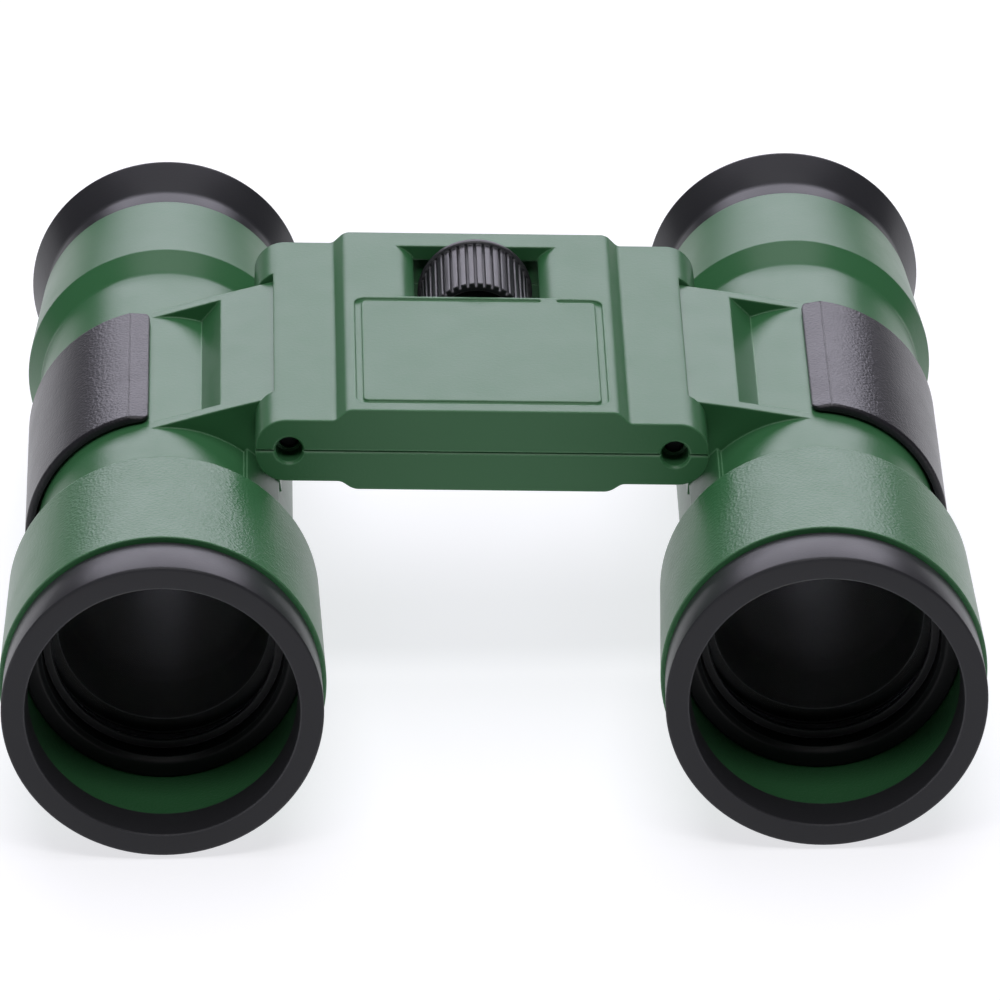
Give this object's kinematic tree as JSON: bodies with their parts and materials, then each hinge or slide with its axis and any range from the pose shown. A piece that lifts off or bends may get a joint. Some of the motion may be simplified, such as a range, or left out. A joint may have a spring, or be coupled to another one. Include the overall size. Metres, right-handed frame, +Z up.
{
  "type": "compact folding binoculars",
  "caption": "Compact folding binoculars: two tubes hinged to a hollow central bridge, with a thumb wheel that focuses both tubes together.",
  "frame": {"origin": "centre of the bounding box's footprint, on the surface that the binoculars stand on", "axes": "+Y along both optical axes from the objectives to the eyecups, +Z up, +X to the right seen from the objectives"},
  "size_m": [0.108, 0.1104, 0.0393],
  "materials": {
    "green_abs": "satin, fine spark-eroded grain",
    "black_abs": "satin",
    "black_soft_grip": "satin, pebble grain",
    "clear_lens": "polished",
    "zinc_plated_steel": "zinc plated",
    "white_acetal": "natural, slightly waxy"
  },
  "bodies": {
    "bridge": {"bridge_upper_shell": "green_abs", "bridge_lower_shell": "green_abs", "shell_screw_1": "zinc_plated_steel", "shell_screw_2": "zinc_plated_steel", "shell_screw_3": "zinc_plated_steel", "shell_screw_4": "zinc_plated_steel", "hinge_pin_left": "zinc_plated_steel", "hinge_pin_right": "zinc_plated_steel"},
    "focus_wheel": {"focus_wheel": "black_abs", "focus_screw": "zinc_plated_steel"},
    "focus_carriage": {"focus_carriage": "white_acetal"},
    "left_tube": {"barrel_left": "green_abs", "grip_pad_left": "black_soft_grip", "objective_bezel_left": "black_abs", "eyecup_left": "black_abs", "eyepiece_lens_left": "clear_lens", "eyepiece_retainer_left": "black_abs"},
    "right_tube": {"barrel_right": "green_abs", "grip_pad_right": "black_soft_grip", "objective_bezel_right": "black_abs", "eyecup_right": "black_abs", "eyepiece_lens_right": "clear_lens", "eyepiece_retainer_right": "black_abs"},
    "left_cell": {"objective_cell_left": "black_abs", "objective_lens_left": "clear_lens", "lens_retainer_left": "black_abs", "focus_arm_left": "black_abs"},
    "right_cell": {"objective_cell_right": "black_abs", "objective_lens_right": "clear_lens", "lens_retainer_right": "black_abs", "focus_arm_right": "black_abs"}
  },
  "joints": [
    {"name": "left_fold", "type": "hinge", "parent": "bridge", "child": "left_tube", "pos_m": [-0.02201, 0.0015, 0.03328], "axis": [0, -1, 0], "range_deg": [-15.5, 22]},
    {"name": "right_fold", "type": "hinge", "parent": "bridge", "child": "right_tube", "pos_m": [0.02078, 0.0015, 0.03205], "axis": [0, 1, 0], "range_deg": [-7.5, 30]},
    {"name": "focus_turn", "type": "hinge", "parent": "bridge", "child": "focus_wheel", "pos_m": [-0.00062, 0.01475, 0.03266], "axis": [0, 1, 0], "range_deg": [-268, 268]},
    {"name": "carriage_slide", "type": "slide", "parent": "bridge", "child": "focus_carriage", "axis": [0, 1, 0], "range_m": [-0.0029, 0.0029]},
    {"name": "left_cell_slide", "type": "slide", "parent": "left_tube", "child": "left_cell", "axis": [0, 1, 0], "range_m": [-0.003, 0.003]},
    {"name": "right_cell_slide", "type": "slide", "parent": "right_tube", "child": "right_cell", "axis": [0, 1, 0], "range_m": [-0.003, 0.003]}
  ],
  "couplings": [
    {"joint": "focus_turn", "follows": "carriage_slide", "rad_per_m": -1570.8},
    {"joint": "left_cell_slide", "follows": "carriage_slide", "ratio": 1},
    {"joint": "right_cell_slide", "follows": "carriage_slide", "ratio": 1}
  ]
}
